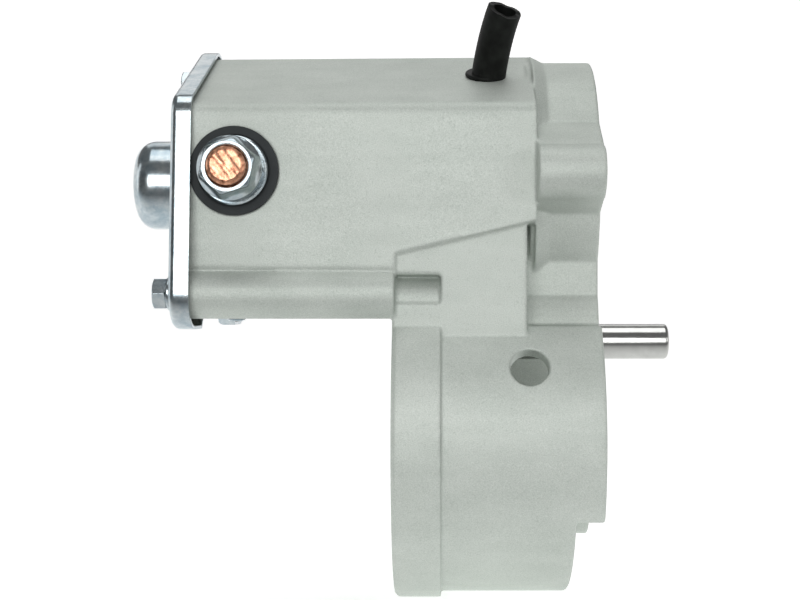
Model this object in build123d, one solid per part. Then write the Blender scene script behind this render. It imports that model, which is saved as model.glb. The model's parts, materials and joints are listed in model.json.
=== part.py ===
from build123d import *
import math
import os

# Magnetic switch and gear-case housing of an offset gear-reduction starter motor.
# Millimetres. +X points to the pinion end, +Z up. The origin is on the motor's axis at the
# face that the motor frame bolts to. The switch's axis runs parallel to X above it.

# ---- driving dimensions -------------------------------------------------------------------
SWITCH_Y, SWITCH_Z = 5.5, 72.8      # axis of the switch, plunger and clutch gear
PIN_Y, PIN_Z = 1.0, 26.2            # axis of the idler gear's pin
BACK_X = -56.5                      # end face of the housing under the cover
BLOCK_X = 38.8                      # front end of the switch block
FRONT_X = 56.6                      # mating face for the drive-end housing
RING_R, RING_X, RING_CHAMFER = 48.0, 13.06, 1.0   # flange ring that takes the motor frame
DRUM_R, DRUM_X, DRUM_EDGE_R = 46.3, 49.1, 1.2     # round drum in front of the ring
DRUM_TOP_Z = 31.5                   # the drum is cut level here in front of the web
WALL = 4.5
DRAFT = 0.43                        # casting draft of the block, degrees
BLOCK_HALF = 43.0                   # half width of the block at its front end
BLOCK_LOW_Z = 44.9                  # underside of the block at its front end
RIDGE_Z, RIDGE_R = 102.5, 8.7       # ridge along the roof, round the upper cover bolt
SHOULDER_DY, SHOULDER_Z, SHOULDER_R = 38.6, 88.2, 4.4
FOOT_DY, FOOT_Z, FOOT_R = 38.5, 40.2, 6.8   # lower cover-bolt bosses along the block
FOOT_END_X = 0.7
WEB_X0, WEB_X1 = 0.9, 36.2          # wall between the block and the drum
WEB_NEAR_Y, WEB_FAR_Y = -36.3, 40.0
POCKET_Z0, POCKET_Z1, POCKET_CORNER_R = 37.5, 45.6, 1.1   # pocket in the near wall above the ring
WEB_ROOT_Y, WEB_ROOT_Z, WEB_TOP_Z = -20.0, 20.0, 62.0
SLANT_LOW_Z, SLANT_HIGH_Z, SLANT_END_Z = 50.9, 59.8, 59.2   # slanting step across the near side
UNDER_Z = 40.0                      # below the block's underside
POCKET_Y, POCKET_FLOOR_Z = -28.8, 38.0   # centre of the pocket's half-round floor
CLUTCH_R, CLUTCH_WALL_R, CLUTCH_WALL_Z = 33.0, 37.4, 71.6
CLUTCH_FLOOR_X = 40.0
BLEND_X, BLEND_GROW = 4.0, 2.0      # the clutch wall flares into the block over this length
LOBE_DY, LOBE_Z, LOBE_R = 44.4, 72.4, 7.4    # screw lobes on the front rim
NECK_TOP_Z, NECK_LOW_Z, NECK_DY = 90.0, 60.0, 30.0   # where a lobe's neck joins the wall
FLANK_NEAR_Y, FLANK_FAR_Y, FLANK_LOW_Z, FLANK_TOP_Z = -24.5, 35.0, 28.0, 50.5   # flat flanks
IDLER_WALL_R, IDLER_WALL_Z = 29.0, 40.3      # wall round the idler gear, up to this height
LOW_LOBE_Y, LOW_LOBE_Z, LOW_LOBE_R = 6.0, -19.8, 11.6    # third lobe, under the rim
RIM_LOW_Z, RIM_CORNER_R = -20.5, 2.5   # the front rim ends here
RIM_ROOT_X = 46.1                   # the rim and its lower lobe grow out of the drum from here
SCREW_TAP_R, SCREW_DEPTH, LOW_SCREW_DEPTH = 3.4, 14.0, 10.0
REGISTER_R, REGISTER_DEPTH = 37.0, 6.0
MOTOR_BORE_R = 35.5                 # motor side of the drum, behind the register
DRUM_BORE_R = 41.5                  # gear side of the drum
FLOOR_X0, FLOOR_X1 = 22.0, 28.0     # floor between motor side and gear side
LOW_FLOOR_X = 44.6                  # the drum's lower part is open to the motor side up to here
LOW_FLOOR_Z = -17.0
GEAR_FLOOR_Z, IDLER_TOP_Z = -16.0, 27.0   # the idler chamber reaches from here to here
THROAT_NEAR_Y, THROAT_FAR_Y = -20.0, 30.5   # opening between the idler and clutch chambers
MIDDLE_Z0, MIDDLE_Z1, THROAT_Z0, THROAT_Z1 = 20.0, 36.0, 30.0, 52.0
LOBE_WALL = 2.0
BEARING_R, BEARING_X0, BEARING_X1 = 14.0, 16.0, 24.5
BEARING_BOSS_R = 18.5
PINION_R = 10.5
MOTOR_BOLT_PCD, MOTOR_BOLT_ANGLE, MOTOR_BOLT_R = 60.0, 150.0, 2.5
MOTOR_BOSS_R, MOTOR_BOSS_X = 6.5, 9.0
PIN_R, PIN_X0, PIN_X1 = 5.25, 17.0, 80.0
PIN_SEAT_R, PIN_EDGE_R = 5.6, 1.1   # the pressed end is a little thicker; both ends are rounded
PIN_BOSS_R, PIN_BOSS_X = 9.0, 30.0
SIDE_HOLE_X, SIDE_HOLE_ANGLE, SIDE_HOLE_R = 36.65, 26.8, 5.2

SWITCH_BORE_R = 23.5
CHAMBER_X = -27.0                   # contact chamber runs from the end face to here
CHAMBER_HALF, CHAMBER_LOW_Z, CHAMBER_SIDE_Z, CHAMBER_TOP_Z = 37.9, 50.0, 86.0, 95.5
CHAMBER_TOP_HALF, CHAMBER_CORNER_R = 21.6, 5.0
SWITCH_FLOOR_X = 31.0
ROD_HOLE_R = 8.0

COVER_X, COVER_T, COVER_SKIRT_X = -58.9, 1.8, -53.3
COVER_GROW, COVER_BEND_R, COVER_SKIRT_T = 2.0, 1.8, 1.0
COVER_FOOT_GROW, COVER_SHOULDER_IN, COVER_RIDGE_IN = 0.9, 0.6, 0.8
SCREW_PLAY, WASHER_PLAY = 0.3, 0.15
RELIEF_Z, RELIEF_R = 8.0, 38.2      # hollow in the cover's lower edge, clear of the motor frame
DOME_R, DOME_X, DOME_BEND_R = 13.2, -77.3, 5.5
GASKET_T = 0.6

BOLT_R, BOLT_AF, BOLT_HEAD = 2.5, 8.0, 4.5
SPRING_WASHER_T, SPRING_WASHER_R = 1.7, 4.6
BOLT_TAP_R, BOLT_END_X = 2.1, -36.0

STUD_X, STUD_Z, STUD_R = -42.1, 73.0, 5.0
OUTER_WALL_DY = 42.4                # outside of the side walls at the studs, from the switch axis
INSULATOR_R, INSULATOR_T = 11.9, 1.2
SEAT_SINK = 0.4                     # the insulator is let into the wall this far
SLEEVE_R = 6.6
NUT_AF, NUT_H, NUT_TURN = 13.0, 7.6, 17.6
NUT_FLANGE_R, NUT_FLANGE_T, NUT_FLARE_R, NUT_FLARE_T = 8.6, 3.3, 6.7, 2.2
WASHER_R, WASHER_T = 9.3, 2.2
LOCK_WASHER_R, LOCK_WASHER_T = 8.2, 2.5
RECESS, RECESS_GAP = 0.8, 0.4       # depth of the washer's seat in the insulator, and its play
STUD_HEAD, STUD_HEAD_T, STUD_HEAD_X = 7.0, 3.0, 7.5   # half height, thickness and reach of the head
STUD_CHAMFER, WASHER_CHAMFER, NUT_CHAMFER = 0.9, 0.4, 0.4
PLATE_HALF, PLATE_HALF_Z, PLATE_CORNER_R = 10.0, 10.5, 3.0   # inner insulator
INNER_T, INNER_GAP = 1.6, 0.02
BLADE_T, BLADE_END_DY, FOOT_T = 3.4, 13.5, 3.0   # fixed contact
STUD_BASE_DEPTH = 1.65              # the stud's head sits this far inside the chamber's wall
SPLIT_HALF = 0.5                    # half the cut in a split washer
STUD_OUT = 2.4                      # the stud stands this far out of its nut
SWITCH_STUD_X, SWITCH_STUD_Y, SWITCH_STUD_END_Z = -44.0, -20.8, 32.6
SWITCH_STUD_R, SWITCH_STUD_SEAT_Z = 2.5, 45.45
SWITCH_HEAD, SWITCH_HEAD_T, SWITCH_HEAD_LIFT = 9.0, 2.4, 1.0
SWITCH_SEAT_R, SWITCH_SEAT_T, SWITCH_SLEEVE_R = 6.0, 1.8, 3.55
SWITCH_NUT_AF, SWITCH_NUT_H = 8.0, 4.0

PLATE_GAP = 6.5                     # contact gap at rest; the plunger's travel is 8 mm
CONTACT_X = -45.5                   # face of the fixed contacts
PLATE_X = CONTACT_X - PLATE_GAP     # front face of the contact plate at rest
PLATE_T, PLATE_R = 2.5, 20.0
GAP = 0.05                          # running clearance on a radius
PLUNGER_R, PLUNGER_X0, PLUNGER_X1 = 11.0, -40.0, 2.0
CORE_X0, CORE_X1 = 10.5, 24.05
STEM_R, STEM_X = 3.5, -72.0
COIL_X0, COIL_X1 = -24.0, 24.0
SLEEVE_OUT_R, BOBBIN_R, BOBBIN_CORE_R, BOBBIN_FLANGE_R, BOBBIN_FLANGE_T = 11.75, 11.8, 13.0, 21.2, 1.5
WIRE_GAP, PULL_IN_R, HOLD_IN_R, YOKE_BORE_R = 0.05, 17.2, 21.0, 21.3
RETURN_SPRING_X, RETURN_SPRING_R, RETURN_WIRE, RETURN_TURNS = -11.9, 5.6, 1.4, 7
CONTACT_SPRING_R, CONTACT_WIRE, CONTACT_TURNS = 4.9, 1.1, 5
ROD_R = 3.0

TUBE_X, TUBE_Y = 25.8, -14.5
TUBE_LEAN = (0.32, -0.55, 0.77)
TUBE_R, TUBE_BORE_R, TUBE_LENGTH = 4.9, 3.3, 19.8
TUBE_FOOT, TUBE_START, TUBE_BEND_R = 4.0, 1.15, 12.0
LIP_R, LIP_T, LIP_EDGE_R, NECK_R, VENT_HOLE_R = 5.8, 1.1, 0.5, 4.98, 5.0

FAR = 60.0                          # beyond the object's sides, for cuts that run out of it
OVER = 1.0                          # how far a cut or a join runs past the faces it meets


# ---- helpers ------------------------------------------------------------------------------
def rod(x0, x1, radius, y=0.0, z=0.0):
    """Round bar along X from x0 to x1."""
    disc = Plane.YZ.offset(x0) * Pos(y, z) * Circle(radius)
    return extrude(disc, x1 - x0)


def tube(x0, x1, outer, inner, y=SWITCH_Y, z=SWITCH_Z):
    """Round pipe along X."""
    return rod(x0, x1, outer, y, z) - rod(x0 - 1, x1 + 1, inner, y, z)


def block(x0, x1, y0, y1, z0, z1):
    """Box between two corners."""
    middle = Pos((x0 + x1) / 2, (y0 + y1) / 2, (z0 + z1) / 2)
    return middle * Box(x1 - x0, y1 - y0, z1 - z0)


def prism(x0, x1, points):
    """Straight-sided outline of (y, z) points carried along X."""
    face = Plane.YZ.offset(x0) * Polygon(*points, align=None)
    return extrude(face, x1 - x0)


def side_rod(side, x, z, y0, y1, radius):
    """Round bar along Y; side is -1 for the near wall and 1 for the far one."""
    low, high = sorted((SWITCH_Y + side * y0, SWITCH_Y + side * y1))
    middle = Pos(x, (low + high) / 2, z) * Rot(90, 0, 0)
    return middle * Cylinder(radius, high - low)


def hexagon(across_flats, height, chamfer_size):
    """Hexagonal prism along Z with its upper corners turned off."""
    body = extrude(RegularPolygon(across_flats / 2, 6, major_radius=False), height)
    corner_r = across_flats / math.sqrt(3)
    cone = Cone(corner_r + height / 0.577 - chamfer_size, corner_r - chamfer_size, height)
    return body & Pos(0, 0, height / 2) * cone


def cover_bolt_places():
    """The three cover bolts, as (y, z)."""
    return [
        (SWITCH_Y - FOOT_DY, FOOT_Z),
        (SWITCH_Y + FOOT_DY, FOOT_Z),
        (SWITCH_Y, RIDGE_Z),
    ]


def save(name, shape):
    shape.label = name
    export_step(shape, os.path.join("parts", name + ".step"))


# ---- housing ------------------------------------------------------------------------------
def block_section(shrink=0.0):
    """House-shaped section of the block: flat sides, two roof slopes and a round ridge."""
    low_z = BLOCK_LOW_Z + shrink + 2.5
    corners = []
    for side in (-1, 1):
        shoulder = Pos(SWITCH_Y + side * SHOULDER_DY, SHOULDER_Z) * Circle(SHOULDER_R - shrink)
        low = Pos(SWITCH_Y + side * (BLOCK_HALF - shrink - 2.5), low_z) * Circle(2.5)
        corners += [shoulder, low]
    corners.append(Pos(SWITCH_Y, RIDGE_Z) * Circle(RIDGE_R - shrink))
    edges = [edge for circle in corners for edge in circle.edges()]
    return make_hull(edges)


def switch_block():
    """The block, slightly smaller towards its back end."""
    shrink = math.tan(math.radians(DRAFT)) * (BLOCK_X - BACK_X)
    front = Plane.YZ.offset(BLOCK_X) * block_section()
    back = Plane.YZ.offset(BACK_X) * block_section(shrink)
    body = loft([back, front])
    for y, z in cover_bolt_places()[:2]:
        body += rod(BACK_X, FOOT_END_X, FOOT_R, y, z)
    return body


def web():
    """Wall that joins the block to the drum. The foot boss runs on, set back, in its pocket."""
    wall = block(WEB_X0, WEB_X1, WEB_NEAR_Y, WEB_FAR_Y, WEB_ROOT_Z, WEB_TOP_Z)
    wall += block(0, RING_X, WEB_NEAR_Y, WEB_ROOT_Y, WEB_ROOT_Z, POCKET_Z0)
    pocket = block(-OVER, RING_X, -FAR, POCKET_Y, POCKET_Z0, POCKET_Z1)
    corner = pocket.edges().filter_by(Axis.Y).sort_by(lambda edge: edge.center().X + edge.center().Z)
    wall -= fillet(corner[-1], POCKET_CORNER_R)
    return wall + rod(0, RING_X, FOOT_R, POCKET_Y, POCKET_FLOOR_Z)


def below_edge():
    """Space beside the web where the block's proud sides are cut back along a slant."""
    end_x = BLOCK_X + 0.1
    corners = [(WEB_X0, UNDER_Z), (end_x, UNDER_Z), (end_x, SLANT_HIGH_Z), (WEB_X0, SLANT_LOW_Z)]
    outline = Plane.XZ.offset(FAR) * Polygon(*corners, align=None)
    beside = extrude(outline, WEB_NEAR_Y + FAR, dir=(0, 1, 0))
    return beside + block(WEB_X1, end_x, -FAR, FLANK_NEAR_Y, UNDER_Z, SLANT_END_Z)


def front_rim():
    """Walls round the clutch-gear chamber, with the screw lobes and flat flanks below them."""
    body = rod(CLUTCH_FLOOR_X - 2.5, FRONT_X, CLUTCH_WALL_R, SWITCH_Y, CLUTCH_WALL_Z)
    blend = Cone(CLUTCH_WALL_R + BLEND_GROW, CLUTCH_WALL_R, BLEND_X)
    body += Pos(BLOCK_X + BLEND_X / 2, SWITCH_Y, CLUTCH_WALL_Z) * Rot(0, 90, 0) * blend
    for side in (-1, 1):
        y = SWITCH_Y + side * LOBE_DY
        body += rod(BLOCK_X, FRONT_X, LOBE_R, y, LOBE_Z)
        root_y = SWITCH_Y + side * NECK_DY
        neck = [
            (y + side, LOBE_Z + LOBE_R - 0.2),
            (y + side, LOBE_Z - LOBE_R + 0.2),
            (root_y, NECK_LOW_Z),
            (root_y, NECK_TOP_Z),
        ]
        body += prism(BLOCK_X, FRONT_X, neck if side < 0 else neck[::-1])
    body += block(WEB_X1 - OVER, FRONT_X, FLANK_NEAR_Y, FLANK_FAR_Y, FLANK_LOW_Z, FLANK_TOP_Z)
    wall = rod(WEB_X1 - OVER, FRONT_X, IDLER_WALL_R, PIN_Y, PIN_Z)
    body += wall & block(0, FRONT_X, -FAR, FAR, FLANK_LOW_Z, IDLER_WALL_Z)
    return body


def drum():
    """Ring flange, drum and the part of the rim that follows the drum."""
    body = rod(0, RING_X, RING_R)
    body = chamfer(body.edges().filter_by(GeomType.CIRCLE).sort_by(Axis.X)[0], RING_CHAMFER)
    barrel = rod(RING_X, DRUM_X, DRUM_R)
    rim_end = barrel.edges().filter_by(GeomType.CIRCLE).sort_by(Axis.X)[-1]
    body += fillet(rim_end, DRUM_EDGE_R) - block(WEB_X1, FRONT_X, -FAR, FAR, DRUM_TOP_Z, FAR)
    rim = rod(RIM_ROOT_X, FRONT_X, DRUM_R) & block(0, FRONT_X, -FAR, FAR, RIM_LOW_Z, DRUM_TOP_Z)
    rim = fillet(rim.edges().filter_by(Axis.X).group_by(Axis.Z)[0], RIM_CORNER_R)
    body += rim
    body += rod(RIM_ROOT_X, FRONT_X, LOW_LOBE_R, LOW_LOBE_Y, LOW_LOBE_Z)
    return body


def motor_side_cuts():
    """Register, motor cavity and the deeper pocket below the gear chamber."""
    cut = rod(-OVER, REGISTER_DEPTH, REGISTER_R)
    cut += rod(0, FLOOR_X0, MOTOR_BORE_R)
    pocket = rod(0, LOW_FLOOR_X, MOTOR_BORE_R)
    pocket &= block(0, LOW_FLOOR_X, -FAR, FAR, -FAR, LOW_FLOOR_Z - WALL)
    return cut + pocket


def gear_side_cuts():
    """Clutch-gear chamber above and idler chamber below, open at the front."""
    end_x = FRONT_X + OVER
    cut = rod(CLUTCH_FLOOR_X, end_x, CLUTCH_R, SWITCH_Y, SWITCH_Z)
    idler = rod(FLOOR_X1, end_x, DRUM_BORE_R)
    idler &= block(0, end_x, -FAR, FAR, GEAR_FLOOR_Z, IDLER_TOP_Z)
    idler -= rod(FLOOR_X1 - OVER, end_x + OVER, LOW_LOBE_R - LOBE_WALL, LOW_LOBE_Y, LOW_LOBE_Z)
    middle = block(FLOOR_X1, end_x, THROAT_NEAR_Y, THROAT_FAR_Y, MIDDLE_Z0, MIDDLE_Z1)
    throat = block(CLUTCH_FLOOR_X, end_x, THROAT_NEAR_Y, THROAT_FAR_Y, THROAT_Z0, THROAT_Z1)
    return cut + idler + middle + throat


def switch_cuts():
    """Contact chamber, coil bore and the hole for the push rod."""
    half, top_half = CHAMBER_HALF, CHAMBER_TOP_HALF
    outline = [
        (SWITCH_Y - half, CHAMBER_LOW_Z),
        (SWITCH_Y + half, CHAMBER_LOW_Z),
        (SWITCH_Y + half, CHAMBER_SIDE_Z),
        (SWITCH_Y + top_half, CHAMBER_TOP_Z),
        (SWITCH_Y - top_half, CHAMBER_TOP_Z),
        (SWITCH_Y - half, CHAMBER_SIDE_Z),
    ]
    chamber = prism(BACK_X - 1, CHAMBER_X, outline)
    chamber = fillet(chamber.edges().filter_by(Axis.X), CHAMBER_CORNER_R)
    cut = chamber + rod(CHAMBER_X - 1, SWITCH_FLOOR_X, SWITCH_BORE_R, SWITCH_Y, SWITCH_Z)
    cut += rod(SWITCH_FLOOR_X - 1, CLUTCH_FLOOR_X + 1, ROD_HOLE_R, SWITCH_Y, SWITCH_Z)
    return cut


def screw_holes():
    """Tapped holes for the cover, the drive-end housing and the motor's through bolts."""
    holes = Part()
    for y, z in cover_bolt_places():
        holes += rod(BACK_X - 1, BOLT_END_X, BOLT_TAP_R, y, z)
    for side in (-1, 1):
        y = SWITCH_Y + side * LOBE_DY
        holes += rod(FRONT_X - SCREW_DEPTH, FRONT_X + 1, SCREW_TAP_R, y, LOBE_Z)
    holes += rod(FRONT_X - LOW_SCREW_DEPTH, FRONT_X + 1, SCREW_TAP_R, LOW_LOBE_Y, LOW_LOBE_Z)
    for y, z in motor_bolt_places():
        holes += rod(MOTOR_BOSS_X - 1, FLOOR_X0, MOTOR_BOLT_R, y, z)
    return holes


def motor_bolt_places():
    places = []
    for turn in (0, 180):
        angle = math.radians(MOTOR_BOLT_ANGLE + turn)
        radius = MOTOR_BOLT_PCD / 2
        places.append((radius * math.cos(angle), radius * math.sin(angle)))
    return places


def terminal_holes():
    """Round holes through the side walls and the underside for the three studs."""
    holes = Part()
    for side in (-1, 1):
        holes += side_rod(side, STUD_X, STUD_Z, CHAMBER_HALF - 2, OUTER_WALL_DY + 6, SLEEVE_R)
        spot = side_rod(side, STUD_X, STUD_Z, OUTER_WALL_DY - SEAT_SINK, OUTER_WALL_DY + 6, INSULATOR_R)
        holes += spot
    holes += Pos(SWITCH_STUD_X, SWITCH_STUD_Y, 47.5) * Cylinder(3.6, 12)
    return holes


def roof():
    """The near roof slope at the vent: its outward normal and its height there."""
    shrink = math.tan(math.radians(DRAFT)) * (BLOCK_X - TUBE_X)
    rise = math.atan2(RIDGE_Z - SHOULDER_Z, SHOULDER_DY)
    apart = math.hypot(RIDGE_Z - SHOULDER_Z, SHOULDER_DY)
    slope = rise + math.asin((RIDGE_R - SHOULDER_R) / apart)
    normal = Vector(0, -math.sin(slope), math.cos(slope))
    offset = normal.dot(Vector(0, SWITCH_Y, RIDGE_Z)) + RIDGE_R - shrink
    return normal, (offset - normal.Y * TUBE_Y) / normal.Z


def vent_frame():
    """Plane on the roof slope where the vent tube stands."""
    normal, height = roof()
    return Plane(origin=(TUBE_X, TUBE_Y, height), x_dir=(1, 0, 0), z_dir=normal)


def side_hole():
    """Round hole through the drum's near wall into the gear chamber, with a chamfered mouth."""
    lean = math.radians(SIDE_HOLE_ANGLE)
    out = Vector(0, -math.cos(lean), math.sin(lean))
    mouth = Plane(origin=out * (DRUM_R - 8) + Vector(SIDE_HOLE_X, 0, 0), x_dir=(1, 0, 0), z_dir=out)
    hole = extrude(mouth * Circle(SIDE_HOLE_R), 12)
    sink = Plane(origin=out * (DRUM_R - 0.3) + Vector(SIDE_HOLE_X, 0, 0), x_dir=(1, 0, 0), z_dir=out)
    return hole + sink * Pos(0, 0, 1) * Cone(SIDE_HOLE_R, SIDE_HOLE_R + 2, 2)


def housing():
    body = switch_block() - below_edge()
    body += web() + front_rim() + drum()
    body -= motor_side_cuts()
    body -= gear_side_cuts()
    body -= switch_cuts()
    boss = rod(BEARING_X0, FLOOR_X0 + 1, BEARING_BOSS_R)
    for y, z in motor_bolt_places():
        boss += rod(MOTOR_BOSS_X, FLOOR_X0 + 1, MOTOR_BOSS_R, y, z)
    body += boss & rod(0, FLOOR_X1, MOTOR_BORE_R + 1)
    body += rod(FLOOR_X0 - 8, PIN_BOSS_X, PIN_BOSS_R, PIN_Y, PIN_Z)
    body -= rod(BEARING_X0 - 1, BEARING_X1, BEARING_R)
    body -= rod(BEARING_X1 - 1, FLOOR_X1 + 1, PINION_R)
    body -= rod(PIN_X0, PIN_BOSS_X + 1, PIN_SEAT_R, PIN_Y, PIN_Z)
    body -= screw_holes()
    body -= terminal_holes()
    body -= side_hole()
    body -= vent_seat()[1]
    return body


# ---- cover --------------------------------------------------------------------------------
def cover_outline(grow):
    """Outline of the pressed cover: ears round the bolts, straight between them."""
    circles = []
    for side in (-1, 1):
        foot = Pos(SWITCH_Y + side * FOOT_DY, FOOT_Z) * Circle(FOOT_R + COVER_FOOT_GROW + grow)
        shoulder_y = SWITCH_Y + side * (SHOULDER_DY - COVER_SHOULDER_IN)
        shoulder = Pos(shoulder_y, SHOULDER_Z) * Circle(SHOULDER_R + grow)
        circles += [foot, shoulder]
    circles.append(Pos(SWITCH_Y, RIDGE_Z) * Circle(RIDGE_R - COVER_RIDGE_IN + grow))
    edges = [edge for circle in circles for edge in circle.edges()]
    hull = make_hull(edges)
    relief = Pos(SWITCH_Y, RELIEF_Z) * Circle(RELIEF_R - grow)
    return hull - relief


def end_cover():
    """Pressed plate with a turned-down skirt and a round dome over the plunger's tail."""
    outer = extrude(Plane.YZ.offset(COVER_X) * cover_outline(COVER_GROW), COVER_SKIRT_X - COVER_X)
    front_edges = outer.faces().sort_by(Axis.X)[0].outer_wire().edges()
    outer = fillet(front_edges, COVER_BEND_R)
    hollow = Plane.YZ.offset(COVER_X + COVER_T) * cover_outline(COVER_GROW - COVER_SKIRT_T)
    shell = outer - extrude(hollow, 20)
    dome = rod(DOME_X, COVER_X + 1, DOME_R, SWITCH_Y, SWITCH_Z)
    dome = fillet(dome.edges().filter_by(GeomType.CIRCLE).sort_by(Axis.X)[0], DOME_BEND_R)
    inside = rod(DOME_X + COVER_T, COVER_X + 10, DOME_R - COVER_T, SWITCH_Y, SWITCH_Z)
    inside_edge = inside.edges().filter_by(GeomType.CIRCLE).sort_by(Axis.X)[0]
    shell += dome
    shell -= fillet(inside_edge, DOME_BEND_R - COVER_T)
    for y, z in cover_bolt_places():
        shell -= rod(COVER_X - 1, COVER_X + 4, BOLT_R + SCREW_PLAY, y, z)
    return shell


def cover_gasket():
    """Paper gasket between the cover and the housing's end face."""
    sheet = extrude(Plane.YZ.offset(BACK_X - GASKET_T) * cover_outline(-0.2), GASKET_T)
    sheet -= rod(BACK_X - 2, BACK_X + 2, 30.0, SWITCH_Y, SWITCH_Z) & block(
        BACK_X - 2, BACK_X + 2, -40, 60, CHAMBER_LOW_Z, CHAMBER_TOP_Z
    )
    for y, z in cover_bolt_places():
        sheet -= rod(BACK_X - 2, BACK_X + 2, BOLT_R + SCREW_PLAY, y, z)
    return sheet


def cover_bolts():
    """Hex screws with domed washer faces, one corner towards the near side."""
    screws = []
    seat_x = COVER_X - SPRING_WASHER_T
    for y, z in cover_bolt_places():
        head = Rot(0, -90, 0) * hexagon(BOLT_AF, BOLT_HEAD, 0.5)
        head = Pos(seat_x, y, z) * Rot(30, 0, 0) * head
        shank = rod(seat_x - 0.5, BACK_X - 0.01, BOLT_R, y, z)
        thread = rod(BACK_X - 0.5, BOLT_END_X - 2, BOLT_TAP_R - 0.02, y, z)
        screws.append(head + shank + thread)
    return Compound(children=screws)


def cover_spring_washers():
    """Split washers under the screw heads."""
    rings = []
    for y, z in cover_bolt_places():
        ring = tube(COVER_X - SPRING_WASHER_T, COVER_X, SPRING_WASHER_R, BOLT_R + WASHER_PLAY, y, z)
        split = block(COVER_X - 5, COVER_X + OVER, y - SPLIT_HALF, y + SPLIT_HALF, z, z + 8)
        rings.append(ring - split)
    return Compound(children=rings)


# ---- terminals ----------------------------------------------------------------------------
def terminal_insulator(side):
    """Moulded ring on the wall, its sleeve through the wall and a recess for the washer."""
    face_dy = OUTER_WALL_DY - SEAT_SINK
    ring = side_rod(side, STUD_X, STUD_Z, face_dy, face_dy + INSULATOR_T + SEAT_SINK, INSULATOR_R)
    ring += side_rod(side, STUD_X, STUD_Z, CHAMBER_HALF, face_dy + 0.1, SLEEVE_R - GAP)
    ring -= side_rod(side, STUD_X, STUD_Z, face_dy + RECESS, face_dy + 3, WASHER_R + RECESS_GAP)
    return ring - side_rod(side, STUD_X, STUD_Z, CHAMBER_HALF - 9, face_dy + 9, STUD_R + GAP)


def inner_insulator(side):
    """Flat moulded plate between the contact and the wall."""
    y0 = SWITCH_Y + side * (CHAMBER_HALF - INNER_T)
    y1 = SWITCH_Y + side * (CHAMBER_HALF - INNER_GAP)
    low, high = sorted((y0, y1))
    plate = block(
        STUD_X - PLATE_HALF, STUD_X + PLATE_HALF, low, high, STUD_Z - PLATE_HALF_Z, STUD_Z + PLATE_HALF_Z
    )
    plate = fillet(plate.edges().filter_by(Axis.Y), PLATE_CORNER_R)
    return plate - side_rod(side, STUD_X, STUD_Z, CHAMBER_HALF - 9, CHAMBER_HALF + 9, STUD_R + GAP)


def contact_blade(side):
    """Copper contact: a foot on the stud's head and a blade that faces the contact plate."""
    foot_dy = CHAMBER_HALF - STUD_BASE_DEPTH - STUD_HEAD_T - GAP
    z0, z1 = STUD_Z - STUD_HEAD, STUD_Z + STUD_HEAD
    low, high = sorted((SWITCH_Y + side * foot_dy, SWITCH_Y + side * (foot_dy - FOOT_T)))
    foot = block(CONTACT_X, STUD_X + STUD_HEAD_X, low, high, z0, z1)
    low, high = sorted((SWITCH_Y + side * foot_dy, SWITCH_Y + side * BLADE_END_DY))
    blade = block(CONTACT_X, CONTACT_X + BLADE_T, low, high, z0, z1)
    return foot + blade


def terminal_stud(side, out):
    """Threaded stud with a square head inside the chamber and a chamfered tip."""
    base_dy = CHAMBER_HALF - STUD_BASE_DEPTH
    tip_dy = OUTER_WALL_DY + out
    low, high = sorted((SWITCH_Y + side * (base_dy - STUD_HEAD_T), SWITCH_Y + side * base_dy))
    head = block(CONTACT_X, STUD_X + STUD_HEAD_X, low, high, STUD_Z - STUD_HEAD, STUD_Z + STUD_HEAD)
    shank = side_rod(side, STUD_X, STUD_Z, base_dy - 0.5, tip_dy, STUD_R)
    tip = shank.faces().sort_by(Axis.Y)[0 if side < 0 else -1]
    return head + chamfer(tip.edges(), STUD_CHAMFER)


def stud_washer(side):
    y0 = OUTER_WALL_DY - SEAT_SINK + RECESS
    ring = side_rod(side, STUD_X, STUD_Z, y0, y0 + WASHER_T, WASHER_R)
    edge = ring.faces().sort_by(Axis.Y)[0 if side < 0 else -1].edges()
    return chamfer(edge, WASHER_CHAMFER) - side_rod(side, STUD_X, STUD_Z, y0 - 1, y0 + 9, STUD_R + GAP)


def lock_washer(side):
    """Split washer under the nut."""
    y0 = OUTER_WALL_DY - SEAT_SINK + RECESS + WASHER_T
    ring = side_rod(side, STUD_X, STUD_Z, y0, y0 + LOCK_WASHER_T, LOCK_WASHER_R)
    ring -= side_rod(side, STUD_X, STUD_Z, y0 - 1, y0 + 9, STUD_R + GAP)
    return ring - block(STUD_X - SPLIT_HALF, STUD_X + SPLIT_HALF, -FAR, 70, STUD_Z, STUD_Z + 12)


def stud_nut(side):
    """Hexagon nut whose flats flare out into a round flange."""
    y0 = OUTER_WALL_DY - SEAT_SINK + RECESS + WASHER_T + LOCK_WASHER_T
    nut = Rot(0, 0, -side * NUT_TURN) * hexagon(NUT_AF, NUT_H, NUT_CHAMFER)
    nut += Pos(0, 0, NUT_FLANGE_T / 2) * Cylinder(NUT_FLANGE_R, NUT_FLANGE_T)
    nut += Pos(0, 0, NUT_FLANGE_T + NUT_FLARE_T / 2) * Cone(NUT_FLANGE_R, NUT_FLARE_R, NUT_FLARE_T)
    nut -= Cylinder(STUD_R + GAP, 40)
    nut -= Pos(0, 0, NUT_H - 0.5) * Cone(STUD_R, STUD_R + 1.0, 1.0)
    turn = Rot(90, 0, 0) if side < 0 else Rot(-90, 0, 0)
    return Pos(STUD_X, SWITCH_Y + side * y0, STUD_Z) * turn * nut


def stud_length():
    return RECESS - SEAT_SINK + WASHER_T + LOCK_WASHER_T + NUT_H + STUD_OUT


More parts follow.
